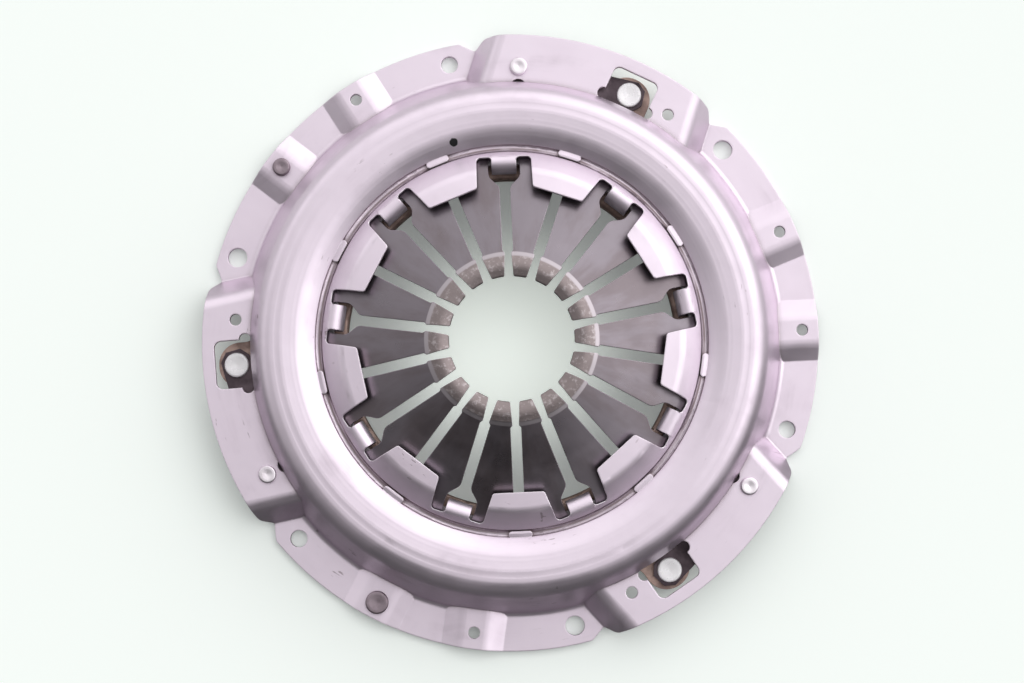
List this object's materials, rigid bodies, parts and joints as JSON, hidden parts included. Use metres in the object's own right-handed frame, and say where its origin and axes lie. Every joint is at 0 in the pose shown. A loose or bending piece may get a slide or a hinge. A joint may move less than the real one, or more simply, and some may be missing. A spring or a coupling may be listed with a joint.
{
  "type": "clutch pressure plate assembly",
  "caption": "Pressed-steel clutch cover with a slotted diaphragm spring, spring-mounted pressure plate, drive straps and rivets.",
  "frame": {"origin": "centre of the cover's mounting face, on the clutch axis", "axes": "+Z along the clutch axis from the flywheel towards the release bearing; seen from +Z, +X is to the right and +Y up in the picture"},
  "size_m": [0.2704, 0.2704, 0.0373],
  "materials": {
    "cover_steel": "satin pressed steel with a faint pinkish cast, light smudges",
    "spring_steel": "dark oiled spring steel, worn bright on the finger tips",
    "ring_steel": "dark steel",
    "cast_iron": "machined cast iron, brownish on the lugs",
    "strap_steel": "dark spring-steel strip",
    "strap_rivet_steel": "bright zinc-plated rivet",
    "lug_rivet_steel": "flat bright rivet head",
    "balance_rivet_steel": "dark phosphated rivet"
  },
  "bodies": {
    "cover": {"cover": "cover_steel", "diaphragm_spring": "spring_steel", "fulcrum_crown_ring": "ring_steel", "balance_rivet_small": "balance_rivet_steel", "balance_rivet_large": "balance_rivet_steel", "drive_strap_1_leaf_1": "strap_steel", "drive_strap_1_leaf_2": "strap_steel", "drive_strap_1_leaf_3": "strap_steel", "drive_strap_2_leaf_1": "strap_steel", "drive_strap_2_leaf_2": "strap_steel", "drive_strap_2_leaf_3": "strap_steel", "drive_strap_3_leaf_1": "strap_steel", "drive_strap_3_leaf_2": "strap_steel", "drive_strap_3_leaf_3": "strap_steel", "strap_rivet_1": "strap_rivet_steel", "strap_rivet_2": "strap_rivet_steel", "strap_rivet_3": "strap_rivet_steel"},
    "pressure_plate": {"pressure_plate": "cast_iron", "lug_rivet_1": "lug_rivet_steel", "lug_rivet_2": "lug_rivet_steel", "lug_rivet_3": "lug_rivet_steel"}
  },
  "joints": [
    {"name": "pressure_plate_travel", "type": "slide", "parent": "cover", "child": "pressure_plate", "axis": [0, 0, 1], "range_m": [0, 0.004], "stiffness_N_per_m": 5000, "deforming": ["diaphragm_spring", "drive_strap_1_leaf_1", "drive_strap_1_leaf_2", "drive_strap_1_leaf_3", "drive_strap_2_leaf_1", "drive_strap_2_leaf_2", "drive_strap_2_leaf_3", "drive_strap_3_leaf_1", "drive_strap_3_leaf_2", "drive_strap_3_leaf_3"]}
  ]
}
